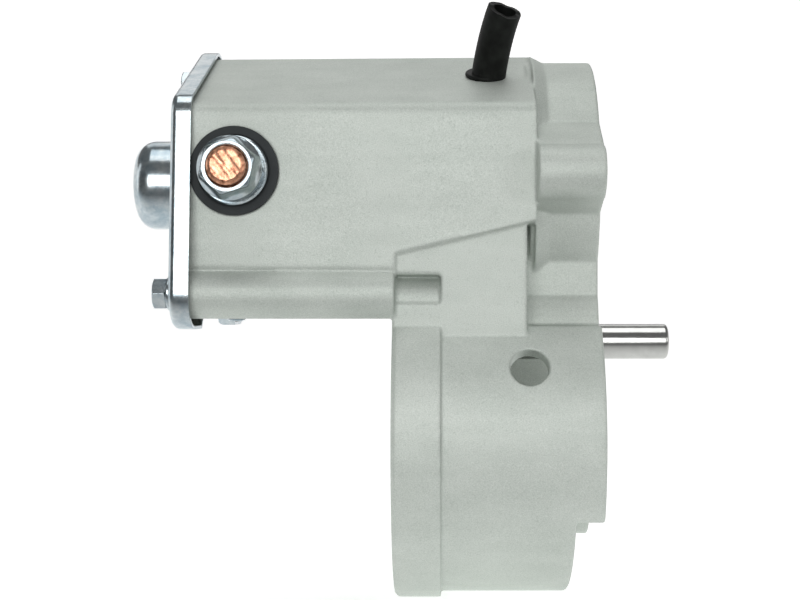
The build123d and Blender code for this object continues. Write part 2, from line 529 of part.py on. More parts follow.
def switch_terminal():
    """Small stud for the switch wire, under the block beside the near boss."""
    place = Pos(SWITCH_STUD_X, SWITCH_STUD_Y, 0)
    floor_z, under_z = CHAMBER_LOW_Z, SWITCH_STUD_SEAT_Z
    neck_r = SWITCH_STUD_R + GAP
    head_z = floor_z + SWITCH_HEAD_LIFT
    stud = Pos(0, 0, head_z + SWITCH_HEAD_T / 2) * Box(SWITCH_HEAD, SWITCH_HEAD, SWITCH_HEAD_T)
    shank_len = floor_z + 2 - SWITCH_STUD_END_Z
    shank = Pos(0, 0, SWITCH_STUD_END_Z + shank_len / 2) * Cylinder(SWITCH_STUD_R, shank_len)
    stud += chamfer(shank.faces().sort_by(Axis.Z)[0].edges(), 0.6)
    insulator = Pos(0, 0, under_z - SWITCH_SEAT_T / 2) * Cylinder(SWITCH_SEAT_R, SWITCH_SEAT_T)
    sleeve_h = floor_z - under_z + OVER
    insulator += Pos(0, 0, under_z + sleeve_h / 2) * Cylinder(SWITCH_SLEEVE_R, sleeve_h)
    insulator -= Pos(0, 0, under_z) * Cylinder(neck_r, 30)
    nut_z = under_z - SWITCH_SEAT_T - SWITCH_NUT_H
    nut = Pos(0, 0, nut_z) * hexagon(SWITCH_NUT_AF, SWITCH_NUT_H, NUT_CHAMFER)
    nut -= Pos(0, 0, under_z) * Cylinder(neck_r, 40)
    return place * stud, place * insulator, place * nut


# ---- plunger and coil ---------------------------------------------------------------------
def on_axis(x0, x1, radius):
    return rod(x0, x1, radius, SWITCH_Y, SWITCH_Z)


def plunger():
    """Steel plunger with a stepped tail and a pocket for the return spring."""
    body = on_axis(PLUNGER_X0, PLUNGER_X1, PLUNGER_R)
    body = chamfer(body.edges().filter_by(GeomType.CIRCLE), 0.6)
    body += on_axis(PLATE_X + 0.6, PLUNGER_X0 + 1, 6.5)
    body += on_axis(STEM_X, PLATE_X + 1, STEM_R)
    body -= on_axis(-12, PLUNGER_X1 + 1, 7.2)
    groove = tube(STEM_X + 1.5, STEM_X + 2.5, STEM_R + 1, STEM_R - 0.7)
    return body - groove


def push_rod():
    """Stainless rod pressed into the plunger, with a rounded tip."""
    body = on_axis(-12, 39.5, 3.0)
    return fillet(body.edges().filter_by(GeomType.CIRCLE).sort_by(Axis.X)[-1], 1.2)


def contact_plate():
    """Copper disc that bridges the two contacts."""
    return tube(PLATE_X - PLATE_T, PLATE_X, PLATE_R, 6.0)


def contact_bush():
    """Moulded bush that insulates the disc from the plunger's tail."""
    body = on_axis(PLATE_X - PLATE_T, PLATE_X + 0.5, 6.0)
    body += on_axis(PLATE_X - PLATE_T - 1.5, PLATE_X - PLATE_T, 9.0)
    return body - on_axis(-90, 0, STEM_R + GAP)


def helix_spring(x0, x1, radius, wire, turns):
    """Round-wire compression spring along X."""
    pitch = (x1 - x0 - wire) / turns
    path = Helix(pitch, x1 - x0 - wire, radius)
    start = path @ 0
    section = Plane(origin=start, x_dir=(1, 0, 0), z_dir=path % 0) * Circle(wire / 2)
    coil = sweep(section, path, is_frenet=True)
    return Pos(x0 + wire / 2, SWITCH_Y, SWITCH_Z) * Rot(0, 90, 0) * coil


def spring_retainer():
    return tube(STEM_X + 2.5, STEM_X + 3.7, 8.0, STEM_R + 0.02)


def retaining_clip():
    ring = tube(STEM_X + 1.55, STEM_X + 2.45, 6.0, STEM_R - 0.68)
    mouth = block(STEM_X, STEM_X + 4, SWITCH_Y - 2.2, SWITCH_Y + 2.2, SWITCH_Z, SWITCH_Z + 9)
    return ring - mouth


def fixed_core():
    """Steel core with a flange against the housing's floor and a hole for the push rod."""
    body = on_axis(CORE_X0, CORE_X1 + 1, PLUNGER_R)
    body += on_axis(CORE_X1, SWITCH_FLOOR_X, SWITCH_BORE_R - GAP)
    body -= on_axis(CORE_X0 - 1, CORE_X0 + 6, 7.2)
    return body - on_axis(0, 40, ROD_R + GAP)


def plunger_sleeve():
    return tube(CHAMBER_X + 0.1, CORE_X1 - 0.1, SLEEVE_OUT_R, PLUNGER_R + GAP)


def coil_bobbin():
    """Moulded bobbin: a core with a flange at each end."""
    body = tube(COIL_X0, COIL_X1, BOBBIN_CORE_R, BOBBIN_R)
    body += tube(COIL_X0, COIL_X0 + BOBBIN_FLANGE_T, BOBBIN_FLANGE_R, BOBBIN_R)
    return body + tube(COIL_X1 - BOBBIN_FLANGE_T, COIL_X1, BOBBIN_FLANGE_R, BOBBIN_R)


def winding(inner, outer):
    inset = BOBBIN_FLANGE_T + WIRE_GAP
    return tube(COIL_X0 + inset, COIL_X1 - inset, outer, inner)


def coil_yoke():
    return tube(COIL_X0, COIL_X1, SWITCH_BORE_R - GAP, YOKE_BORE_R)


def rear_pole_plate():
    return tube(CHAMBER_X + 0.1, COIL_X0 - GAP, SWITCH_BORE_R - GAP, BOBBIN_R)


# ---- gear-side and vent -------------------------------------------------------------------
def idler_pin():
    """Ground pin with a thicker pressed end and both ends rounded."""
    body = rod(PIN_X0, PIN_BOSS_X, PIN_SEAT_R, PIN_Y, PIN_Z)
    body += rod(PIN_BOSS_X, PIN_X1, PIN_R, PIN_Y, PIN_Z)
    rims = body.edges().filter_by(GeomType.CIRCLE).sort_by(Axis.X)
    return fillet([rims[0], rims[-1]], PIN_EDGE_R)


def vent_seat():
    """Grommet lip on the roof, and the hole that its neck fills."""
    frame = vent_frame()
    lip = frame * Pos(0, 0, 0.6) * Cylinder(LIP_R, LIP_T)
    lip = fillet(lip.edges().filter_by(GeomType.CIRCLE), LIP_EDGE_R)
    neck = frame * Pos(0, 0, -3.0) * Cylinder(NECK_R, 6.1)
    bore = frame * Pos(0, 0, -1.0) * Cylinder(TUBE_BORE_R, 12)
    hole = frame * Pos(0, 0, -4.5) * Cylinder(VENT_HOLE_R, 14)
    return (lip + neck) - bore, hole


def vent_tube():
    """Slightly bent rubber tube, open at its cut end."""
    frame = vent_frame()
    lean = Vector(*TUBE_LEAN).normalized()
    start = frame.origin + frame.z_dir * TUBE_START
    knee = start + frame.z_dir * TUBE_FOOT
    end = knee + lean * (TUBE_LENGTH - TUBE_FOOT)
    path = FilletPolyline(start, knee, end, radius=TUBE_BEND_R)
    section = Plane(origin=start, z_dir=frame.z_dir) * (Circle(TUBE_R) - Circle(TUBE_BORE_R))
    return sweep(section, path)


# ---- everything ---------------------------------------------------------------------------
def main():
    os.makedirs("parts", exist_ok=True)
    save("housing", housing())
    save("end_cover", end_cover())
    save("cover_gasket", cover_gasket())
    save("cover_bolts", cover_bolts())
    save("cover_spring_washers", cover_spring_washers())
    for name, side in (("battery", -1), ("motor", 1)):
        save(name + "_insulator", terminal_insulator(side))
        save(name + "_inner_insulator", inner_insulator(side))
        save(name + "_contact", contact_blade(side))
        save(name + "_stud", terminal_stud(side, stud_length()))
        save(name + "_washer", stud_washer(side))
        save(name + "_lock_washer", lock_washer(side))
        save(name + "_nut", stud_nut(side))
    stud, insulator, nut = switch_terminal()
    save("switch_stud", stud)
    save("switch_insulator", insulator)
    save("switch_nut", nut)
    save("plunger", plunger())
    save("push_rod", push_rod())
    save("contact_plate", contact_plate())
    save("contact_bush", contact_bush())
    low, high = STEM_X + 3.75, PLATE_X - PLATE_T - 1.55
    save("contact_spring", helix_spring(low, high, CONTACT_SPRING_R, CONTACT_WIRE, CONTACT_TURNS))
    low, high = RETURN_SPRING_X, CORE_X0 + 5.9
    save("return_spring", helix_spring(low, high, RETURN_SPRING_R, RETURN_WIRE, RETURN_TURNS))
    save("spring_retainer", spring_retainer())
    save("retaining_clip", retaining_clip())
    save("fixed_core", fixed_core())
    save("plunger_sleeve", plunger_sleeve())
    save("coil_bobbin", coil_bobbin())
    save("pull_in_winding", winding(BOBBIN_CORE_R + WIRE_GAP, PULL_IN_R))
    save("hold_in_winding", winding(PULL_IN_R + WIRE_GAP, HOLD_IN_R))
    save("coil_yoke", coil_yoke())
    save("rear_pole_plate", rear_pole_plate())
    save("idler_pin", idler_pin())
    save("vent_grommet", vent_seat()[0])
    save("vent_tube", vent_tube())


main()
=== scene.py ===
import json
import math

import bmesh
import bpy
import numpy as np
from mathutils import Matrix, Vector


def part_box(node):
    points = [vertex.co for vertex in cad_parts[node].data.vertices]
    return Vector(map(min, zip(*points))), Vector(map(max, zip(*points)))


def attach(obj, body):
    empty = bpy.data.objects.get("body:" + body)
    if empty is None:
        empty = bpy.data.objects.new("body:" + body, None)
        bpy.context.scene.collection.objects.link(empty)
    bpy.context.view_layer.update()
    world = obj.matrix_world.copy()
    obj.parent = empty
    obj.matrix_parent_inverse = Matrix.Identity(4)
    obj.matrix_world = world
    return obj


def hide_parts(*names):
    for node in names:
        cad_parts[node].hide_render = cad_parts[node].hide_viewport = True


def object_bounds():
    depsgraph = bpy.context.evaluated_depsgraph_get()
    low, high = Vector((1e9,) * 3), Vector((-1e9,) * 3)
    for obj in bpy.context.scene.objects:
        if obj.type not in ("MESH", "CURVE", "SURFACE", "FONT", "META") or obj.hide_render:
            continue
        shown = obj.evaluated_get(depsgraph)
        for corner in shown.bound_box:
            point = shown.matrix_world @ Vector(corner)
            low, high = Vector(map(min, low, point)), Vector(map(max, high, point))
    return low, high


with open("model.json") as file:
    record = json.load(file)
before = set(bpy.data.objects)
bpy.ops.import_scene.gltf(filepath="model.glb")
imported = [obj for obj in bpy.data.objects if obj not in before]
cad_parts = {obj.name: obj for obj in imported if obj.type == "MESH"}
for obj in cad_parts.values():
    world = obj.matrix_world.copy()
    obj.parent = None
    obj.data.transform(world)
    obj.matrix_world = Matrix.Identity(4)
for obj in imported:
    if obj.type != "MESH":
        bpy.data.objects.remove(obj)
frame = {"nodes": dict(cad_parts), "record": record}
CAD_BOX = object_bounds()
MM = 0.001
TURN = 2 * math.pi


# ---- shader maths --------------------------------------------------------------------------
class Value:
    """A shader socket that takes part in Python arithmetic."""

    def __init__(self, finish, socket):
        self.finish, self.socket = finish, socket

    def maths(self, operation, *others):
        inputs = dict(enumerate((self, *others)))
        return self.finish.node("ShaderNodeMath", inputs, operation=operation)

    def __add__(self, other):
        return self.maths("ADD", other)

    def __mul__(self, other):
        return self.maths("MULTIPLY", other)


class Finish:
    """A procedural material on Object coordinates, with one method that makes its nodes."""

    def __init__(self, name, **constants):
        self.material = bpy.data.materials.new(name)
        self.material.use_nodes = True
        self.tree = self.material.node_tree
        self.surface = self.tree.nodes["Principled BSDF"]
        for key, value in constants.items():
            self.surface.inputs[key.replace("_", " ")].default_value = value
        self.place = self.node("ShaderNodeTexCoord", out="Object")

    def feed(self, socket, value):
        if isinstance(value, Value):
            self.tree.links.new(value.socket, socket)
        elif hasattr(socket.default_value, "__len__") and len(socket.default_value) == 4:
            socket.default_value = (*value, 1.0)
        else:
            socket.default_value = value

    def node(self, kind, inputs=None, out=0, stops=None, **settings):
        made = self.tree.nodes.new(kind)
        for key, value in settings.items():
            setattr(made, key, value)
        if stops:
            ramp = made.color_ramp.elements
            while len(ramp) < len(stops):
                ramp.new(0.5)
            for element, (place, level) in zip(ramp, stops):
                element.position = place
                element.color = (level, level, level, 1.0)
        for key, value in (inputs or {}).items():
            self.feed(made.inputs[key], value)
        return Value(self, made.outputs[out])

    def noise(self, size_mm, detail=2.0, roughness=0.5, place=None):
        """Noise from 0 to 1 whose grains are about size_mm across."""
        inputs = {"Vector": place or self.place, "Scale": 1 / (size_mm * MM), "Detail": detail,
                  "Roughness": roughness}
        return self.node("ShaderNodeTexNoise", inputs)

    def ramp(self, value, *stops):
        return self.node("ShaderNodeValToRGB", {"Fac": value}, stops=stops)

    def stretched(self, x, y, z):
        """Object coordinates scaled by x, y and z."""
        return self.node("ShaderNodeMapping", {"Vector": self.place, "Scale": (x, y, z)})

    def mix(self, factor, low, high):
        inputs = {0: factor, 6: low, 7: high}
        return self.node("ShaderNodeMix", inputs, out=2, data_type="RGBA")

    def rounded(self, radius_mm):
        """Normals that look as if every edge had this radius."""
        return self.node("ShaderNodeBevel", {"Radius": radius_mm * MM}, samples=4)

    def wear(self, **sockets):
        """Feeds the surface sockets that vary: Base_Color, Roughness, Metallic or Normal."""
        for key, value in sockets.items():
            self.feed(self.surface.inputs[key.replace("_", " ")], value)
        return self.material

    def bump(self, height, depth_mm, strength=1.0, normal=None):
        inputs = {"Height": height, "Distance": depth_mm * MM, "Strength": strength}
        if normal:
            inputs["Normal"] = normal
        return self.node("ShaderNodeBump", inputs)


def along_axis(finish, axis):
    """One coordinate of the Object coordinates, in metres."""
    return finish.node("ShaderNodeSeparateXYZ", {"Vector": finish.place}, out=axis)


def cast_aluminium():
    """Bead-blasted die casting: fine grain and pits over soft patches and faint flow marks."""
    finish = Finish("cast_aluminium", Specular_IOR_Level=0.4)
    grain = finish.noise(0.30, 3.0, 0.65)
    pits = finish.ramp(finish.noise(0.9, 2.0), (0.28, 0.0), (0.40, 1.0))
    patches = finish.noise(16.0, 3.0, 0.55)
    flow = finish.noise(5.0, 2.0, place=finish.stretched(0.25, 1.0, 1.0))
    tone = grain * 0.62 + pits * 0.05 + patches * 0.2 + flow * 0.13
    shade = finish.ramp(tone, (0.36, 0.0), (0.70, 1.0))
    colour = finish.mix(shade, (0.41, 0.455, 0.415), (0.65, 0.685, 0.645))
    height = grain * 1.0 + pits * 0.3 + flow * 0.2
    finish.wear(Base_Color=colour, Roughness=patches * 0.12 + 0.50, Metallic=flow * 0.2 + 0.35)
    return finish.wear(Normal=finish.bump(height, 0.09, 0.75, finish.rounded(0.35)))


def zinc_plate():
    """Bright zinc with a cool passivate film that drifts in colour, spangle and press marks."""
    finish = Finish("zinc_plate", Metallic=1.0)
    film = finish.noise(7.0, 3.0, 0.6)
    spangle = finish.noise(1.1, 4.0, 0.7)
    streaks = finish.noise(0.7, 3.0, place=finish.stretched(0.2, 1.0, 1.0))
    tint = finish.ramp(film * 0.7 + spangle * 0.3, (0.38, 0.0), (0.62, 1.0))
    colour = finish.mix(tint, (0.30, 0.37, 0.41), (0.52, 0.56, 0.57))
    finish.wear(Base_Color=colour, Roughness=streaks * 0.12 + spangle * 0.08 + 0.10)
    return finish.wear(Normal=finish.bump(streaks * 0.4 + spangle * 0.6, 0.03, 0.45, finish.rounded(0.35)))


def copper():
    """Cut copper: warm, tarnished in the hollows, scratched and smeared by the cut."""
    finish = Finish("copper", Metallic=1.0)
    tarnish = finish.noise(1.4, 4.0, 0.65)
    scratches = finish.noise(0.25, 3.0, place=finish.stretched(1.0, 1.0, 0.15))
    shade = finish.ramp(tarnish, (0.32, 0.0), (0.60, 1.0))
    colour = finish.mix(shade, (0.24, 0.085, 0.045), (0.80, 0.42, 0.27))
    finish.wear(Base_Color=colour, Roughness=scratches * 0.2 + 0.22)
    return finish.wear(Normal=finish.bump(scratches + tarnish, 0.08, 0.7, finish.rounded(0.15)))


def black_moulding():
    """Glass-filled black moulding with a faint speckle."""
    finish = Finish("black_moulding", Specular_IOR_Level=0.25)
    speckle = finish.noise(0.30, 2.0)
    cloud = finish.noise(5.0, 2.0)
    colour = finish.mix(cloud * 0.5 + speckle * 0.5, (0.010, 0.013, 0.014), (0.042, 0.048, 0.050))
    finish.wear(Base_Color=colour, Roughness=speckle * 0.2 + 0.5)
    return finish.wear(Normal=finish.bump(speckle, 0.03, 0.4, finish.rounded(0.2)))


def rubber():
    """Extruded rubber with fine lengthwise lines and a pale bloom."""
    finish = Finish("rubber", Specular_IOR_Level=0.16)
    bloom = finish.noise(4.0, 3.0)
    lines = finish.noise(0.5, 2.0, place=finish.stretched(1.0, 1.0, 0.2))
    shade = finish.ramp(bloom, (0.4, 0.0), (0.75, 1.0))
    colour = finish.mix(shade, (0.0035, 0.004, 0.0035), (0.013, 0.015, 0.013))
    finish.wear(Base_Color=colour, Roughness=bloom * 0.25 + 0.42)
    return finish.wear(Normal=finish.bump(lines, 0.05, 0.6))


def ground_steel():
    """Ground pin: bright, with fine rings round it."""
    finish = Finish("ground_steel", Metallic=1.0)
    rings = finish.noise(0.12, 2.0, place=finish.stretched(1.0, 0.02, 0.02))
    stain = finish.noise(3.0, 2.0)
    colour = finish.mix(stain, (0.40, 0.405, 0.39), (0.52, 0.525, 0.51))
    finish.wear(Base_Color=colour, Roughness=rings * 0.10 + 0.12)
    return finish.wear(Normal=finish.bump(rings, 0.004, 0.5, finish.rounded(0.3)))


def turned_steel(name, low, high, roughness):
    """Turned steel parts: rings across the axis over a mottled oxide."""
    finish = Finish(name, Metallic=0.9)
    rings = finish.noise(0.2, 1.0, place=finish.stretched(1.0, 0.05, 0.05))
    oxide = finish.noise(3.5, 3.0)
    finish.wear(Base_Color=finish.mix(oxide, low, high), Roughness=rings * 0.2 + roughness)
    return finish.wear(Normal=finish.bump(rings, 0.01, 0.5, finish.rounded(0.2)))


WIRE_PITCH = 0.8                    # millimetres


def enamelled_wire():
    """Enamelled winding: rows of wire shown as rounded ridges along X, with painted shade in the grooves
    between wires and painted light on their crests.
    """
    finish = Finish("enamelled_wire", Coat_Weight=0.5)
    x = along_axis(finish, "X")
    ridge_and_painted_shade = (x * (TURN / (WIRE_PITCH * MM))).maths("SINE") * 0.5 + 0.5
    shade = finish.noise(2.0, 2.0)
    # Painted shade and light: the colour follows the ridges, darker in the grooves between wires and lighter
    # on their crests.
    colour = finish.mix(shade * 0.5 + ridge_and_painted_shade * 0.5, (0.16, 0.035, 0.012), (0.50, 0.18, 0.06))
    finish.wear(Base_Color=colour, Roughness=shade * 0.1 + 0.25)
    return finish.wear(Normal=finish.bump(ridge_and_painted_shade, 0.3))


def plain_moulding(name, low, high, size_mm, roughness):
    """Moulded or fibrous sheet whose tone drifts between two colours."""
    finish = Finish(name)
    fibre = finish.noise(size_mm, 4.0, 0.6)
    finish.wear(Base_Color=finish.mix(fibre, low, high), Roughness=fibre * 0.2 + roughness)
    return finish.wear(Normal=finish.bump(fibre, 0.03, 0.5))


MATERIALS = {
    "cast_aluminium": cast_aluminium(),
    "zinc_plate": zinc_plate(),
    "copper": copper(),
    "black_moulding": black_moulding(),
    "rubber": rubber(),
    "ground_steel": ground_steel(),
    "soft_steel": turned_steel("soft_steel", (0.26, 0.26, 0.27), (0.42, 0.42, 0.42), 0.3),
    "spring_steel": turned_steel("spring_steel", (0.20, 0.20, 0.21), (0.36, 0.35, 0.34), 0.25),
    "brass": turned_steel("brass", (0.50, 0.34, 0.12), (0.66, 0.48, 0.20), 0.2),
    "enamelled_wire": enamelled_wire(),
    "nylon": plain_moulding("nylon", (0.62, 0.58, 0.47), (0.72, 0.69, 0.60), 3.0, 0.4),
    "gasket_paper": plain_moulding("gasket_paper", (0.08, 0.075, 0.06), (0.17, 0.16, 0.13), 0.8, 0.7),
}
SLOT_OF = {part["node"]: part["material_slot"] for part in frame["record"]["subparts"]}
BODY_OF = {n: b for b, nodes in frame["record"]["behaviour"]["bodies"].items() for n in nodes}


def dress_nodes():
    """Gives every CAD node the material of its slot."""
    for name, obj in frame["nodes"].items():
        for i in range(max(1, len(obj.material_slots))):
            if not obj.material_slots:
                obj.data.materials.append(MATERIALS[SLOT_OF[name]])
            else:
                obj.material_slots[i].material = MATERIALS[SLOT_OF[name]]


# ---- making pieces -------------------------------------------------------------------------
def piece(name, mesh, node, edge_angle=35.0):
    """Puts a mesh in the scene as the piece that stands for a CAD node, on that node's body."""
    obj = bpy.data.objects.new(name, mesh)
    bpy.context.scene.collection.objects.link(obj)
    mesh.materials.clear()
    mesh.materials.append(MATERIALS[SLOT_OF[node]])
    mesh.polygons.foreach_set("use_smooth", np.ones(len(mesh.polygons), bool))
    mesh.set_sharp_from_angle(angle=math.radians(edge_angle))
    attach(obj, BODY_OF[node])
    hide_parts(node)
    return obj


def woven(name, grids):
    """Mesh of one or more grids of points, each (rows, columns, 3). Columns close on
    themselves; rows close too where a grid's second value is true. Poles are merged."""
    points, faces, base = [], [], 0
    for grid, ring in grids:
        rows, columns = grid.shape[:2]
        index = base + np.arange(rows * columns).reshape(rows, columns)
        low = index if ring else index[:-1]
        high = np.roll(index, -1, 0) if ring else index[1:]
        quads = np.stack([low, np.roll(low, -1, 1), np.roll(high, -1, 1), high], -1)
        faces.append(quads.reshape(-1, 4))
        points.append(grid.reshape(-1, 3))
        base += rows * columns
    mesh = bpy.data.meshes.new(name)
    mesh.from_pydata(np.concatenate(points).tolist(), [], np.concatenate(faces).tolist())
    work = bmesh.new()
    work.from_mesh(mesh)
    bmesh.ops.remove_doubles(work, verts=work.verts, dist=1e-6)
    bmesh.ops.recalc_face_normals(work, faces=work.faces)
    work.to_mesh(mesh)
    work.free()
    return mesh


def frame_of(axis):
    """Two unit vectors square to an axis, and the axis, as rows."""
    along = np.asarray(axis, float) / np.linalg.norm(axis)
    helper = np.array([0.0, 0.0, 1.0]) if abs(along[2]) < 0.9 else np.array([1.0, 0.0, 0.0])
    across = np.cross(helper, along)
    across /= np.linalg.norm(across)
    return across, np.cross(along, across), along


def around(origin, axis, s, r, angles):
    """Points origin + s*axis + r*(cos(a)*u + sin(a)*v), in metres from millimetres.
    s and r are (rows, columns) arrays or broadcast to them."""
    u, v, along = frame_of(axis)
    s, r = np.broadcast_arrays(np.asarray(s, float), np.asarray(r, float))
    ring = np.cos(angles)[None, :, None] * u + np.sin(angles)[None, :, None] * v
    return np.asarray(origin, float) + (s[..., None] * along + r[..., None] * ring) * MM


def thread(s, angles, radius, pitch, depth, lead):
    """Radius of a screw thread: radius - depth*w, where w is a flattened triangle wave of
    s/pitch - angle/turn, and runs out over the length lead at both ends of s."""
    phase = (s / pitch - angles[None, :] / TURN) % 1.0
    wave = np.clip(np.abs(phase - 0.5) * 2.6 - 0.15, 0.0, 1.0)
    run_out = np.clip(np.minimum(s - s.min(), s.max() - s) / lead, 0.0, 1.0)
    return radius - depth * wave * run_out


def hexagon_radius(angles, across_flats, turn):
    """Distance to the side of a hexagon: (across_flats/2) / cos of the angle to its flat."""
    folded = (angles - turn + TURN / 12) % (TURN / 6) - TURN / 12
    return across_flats / 2 / np.cos(folded)


def nut_grid(origin, axis, across_flats, height, bore_r, turn, pitch):
    """Hexagon nut: its side radius is the least of the hexagon and a 30 degree cone at each
    end, and a rounded corner where they meet. The bore is plain; rows close on themselves."""
    angles = np.linspace(0, TURN, 144, endpoint=False) + turn
    side = hexagon_radius(angles, across_flats, turn)[None, :]
    s = np.linspace(0.0, height, 40)[:, None]
    slope = 1 / math.tan(math.radians(30))
    top_cone = across_flats * 0.475 + (height - s) * slope
    foot_cone = across_flats * 0.49 + s * slope
    reach = np.stack(np.broadcast_arrays(side, top_cone, foot_cone))
    edge = -np.log(np.exp(-6.0 * (reach - side)).sum(0)) / 6.0 + side
    edge = np.minimum(edge, reach.min(0))
    bore_s = np.linspace(height - 0.55, 0.4, int(height / pitch * 8))[:, None]
    rim_s = np.array([height, height - 0.05])[:, None]
    rim_r = np.array([bore_r + 0.85, bore_r + 0.75])[:, None] * np.ones_like(side)
    foot_s = np.array([[0.0]])
    foot_r = (bore_r + 0.4) * np.ones_like(side)
    cut = bore_r * np.ones_like(bore_s) * np.ones_like(side)
    rows_s = [np.broadcast_to(v, (len(v), len(angles))) for v in (foot_s, s, rim_s, bore_s)]
    rows_r = [foot_r, edge, rim_r, cut]
    return around(origin, axis, np.concatenate(rows_s), np.concatenate(rows_r), angles), True


def flange_nut_grid(origin, axis, height, turn):
    """Nut whose side radius is the hexagon's at the top and swells into a round flange:
    hexagon + (flange - hexagon)*(1 - t)^2.4, where t is the height above the flange, 0 to 1.
    The flange's rim leans in to its foot; the top edge is a 30 degree cone."""
    angles = np.linspace(0, TURN, 192, endpoint=False) + turn
    side = hexagon_radius(angles, NUT_ACROSS, turn + TURN / 12)[None, :]
    side = np.minimum(side, NUT_ACROSS * 0.565)
    s = np.concatenate([[0.0, 0.12, 0.4], np.linspace(1.0, FLANGE_T - 0.35, 5), [FLANGE_T - 0.12, FLANGE_T]])
    lean = np.concatenate([[0.8, 0.55, 0.45], np.linspace(0.4, 0.05, 5), [0.0, 0.06]])
    rim_s = s[:, None]
    rim_r = (FLANGE_R - lean[:, None]) * np.ones_like(side)
    t = np.linspace(0.04, 1.0, 34)[:, None]
    up_s = FLANGE_T + t * (height - FLANGE_T)
    up_r = side + (FLANGE_R - 0.1 - side) * (1 - t) ** 2.4
    up_r = np.minimum(up_r, NUT_ACROSS * 0.50 + (height - up_s) * 1.6)
    bore_s = np.linspace(height - 0.5, 0.4, 60)[:, None]
    mouth_s = np.array([height, height - 0.05])[:, None]
    mouth_r = np.array([5.62, 5.5])[:, None] * np.ones_like(side)
    foot_s, foot_r = np.array([[0.0]]), 5.5 * np.ones_like(side)
    bore_r = 5.05 * np.ones_like(bore_s) * np.ones_like(side)
    rows_s = [np.broadcast_to(v, (len(v), len(angles))) for v in (foot_s, rim_s, up_s, mouth_s, bore_s)]
    rows_r = [foot_r, rim_r, up_r, mouth_r, bore_r]
    return around(origin, axis, np.concatenate(rows_s), np.concatenate(rows_r), angles), True


def stud_grid(origin, axis, length, radius, pitch, tip, wear):
    """Threaded stud from s = 0 to length with a chamfered tip. The end face dips on one side
    of a slanting line and is slightly hollow, as a sheared end is, by up to wear."""
    angles = np.linspace(0, TURN, 96, endpoint=False)
    s = np.linspace(0, length - tip, int((length - tip) / pitch * 10))[:, None]
    r = thread(s, angles, radius, pitch, 0.55 * pitch, pitch)
    cap = np.linspace(1.0, 0.0, 12)[:, None]
    cap_r = (radius - tip) * cap * np.ones((1, len(angles)))
    x, y = cap_r * np.cos(angles), cap_r * np.sin(angles)
    lean = (x * 0.55 + y * 0.83) / radius
    dip = np.clip(lean - 0.05, 0, 1) * 1.1 + 0.18 * (1 - cap**2) + 0.1 * np.sin(2.3 * x + 1.7 * y)
    cap_s = length - wear * np.clip(dip, 0, 1)
    base = np.zeros((1, len(angles)))
    rows_s = np.concatenate([base, np.broadcast_to(s, r.shape), cap_s])
    return around(origin, axis, rows_s, np.concatenate([base, r, cap_r]), angles), False


def box_grid(low, high, corner=0.5):
    """Rounded bar between two corners, as a stack of rounded squares along Y (millimetres)."""
    low, high = np.asarray(low, float), np.asarray(high, float)
    angles = np.linspace(0, TURN, 64, endpoint=False)
    half = (high - low) / 2
    middle = (high + low) / 2
    power = 0.18
    cx = np.sign(np.cos(angles)) * np.abs(np.cos(angles)) ** power
    cz = np.sign(np.sin(angles)) * np.abs(np.sin(angles)) ** power
    levels = np.array([-1, -1, -0.9, 0.9, 1, 1])[:, None]
    inset = np.array([1e9, corner, 0, 0, corner, 1e9])[:, None]
    sx = np.maximum(half[0] - inset, 0) * cx
    sz = np.maximum(half[2] - inset, 0) * cz
    y = levels * half[1] * np.ones_like(sx)
    return (np.stack([sx, y, sz], -1) + middle) * MM, False


def bolt_grid(origin, axis, across_flats, head, shank_length, radius, pitch, turn):
    """Hexagon screw, head first: a crowned and chamfered head, a neck and a threaded shank."""
    angles = np.linspace(0, TURN, 144, endpoint=False) + turn
    side = hexagon_radius(angles, across_flats, turn)[None, :]
    s = np.linspace(0, -head, 24)[:, None]
    cone = across_flats * 0.485 + (head + s) / math.tan(math.radians(30))
    edge = np.minimum(np.minimum(side, cone), across_flats * 0.52 - s * 3.0)
    crown = np.linspace(0.98, 0.0, 8)[:, None]
    crown_r = across_flats * 0.485 * crown * np.ones_like(side)
    crown_s = -head - 0.12 * (1 - crown**2) * np.ones_like(side) + 0.25 * np.exp(-((crown / 0.45) ** 2))
    shank_s = np.linspace(shank_length, 0.0, int(shank_length / pitch * 8))[:, None]
    shank_r = thread(shank_s, angles, radius, pitch, 0.5 * pitch, pitch)
    end = np.zeros((1, len(angles)))
    rows_s = [end + shank_length, np.broadcast_to(shank_s, shank_r.shape),
              np.broadcast_to(s, edge.shape), crown_s]
    rows_r = [end, shank_r, edge, crown_r]
    return around(origin, axis, np.concatenate(rows_s), np.concatenate(rows_r), angles), False


def spring_washer_grid(origin, axis, outer, inner, thickness, gap, step):
    """Split washer: a rounded-square section swept round just under a turn while it climbs
    by step; the two ends are closed to a point so that they show as a cut."""
    angles = np.concatenate([[gap], np.linspace(gap, TURN - gap, 72), [TURN - gap]])
    turn = np.linspace(0, TURN, 16, endpoint=False)
    power = 0.35
    width = (outer - inner) / 2 * np.sign(np.cos(turn)) * np.abs(np.cos(turn)) ** power
    rise = thickness / 2 * np.sign(np.sin(turn)) * np.abs(np.sin(turn)) ** power
    scale = np.ones((len(angles), 1))
    scale[0] = scale[-1] = 0.0
    climb = step * (angles[:, None] / TURN - 0.5)
    r = (outer + inner) / 2 + width[None, :] * scale
    s = thickness / 2 + rise[None, :] * scale + climb
    u, v, along = frame_of(axis)
    ring = np.cos(angles)[:, None, None] * u + np.sin(angles)[:, None, None] * v
    points = np.asarray(origin, float) + (s[..., None] * along + r[..., None] * ring) * MM
    return points, False


# ---- the object's pieces -------------------------------------------------------------------
def record_mount(name):
    return next(m for m in frame["record"]["mounts"] if m["name"] == name)


VOXEL = 0.45                        # millimetres
HOUSING_TRIANGLES = 190000


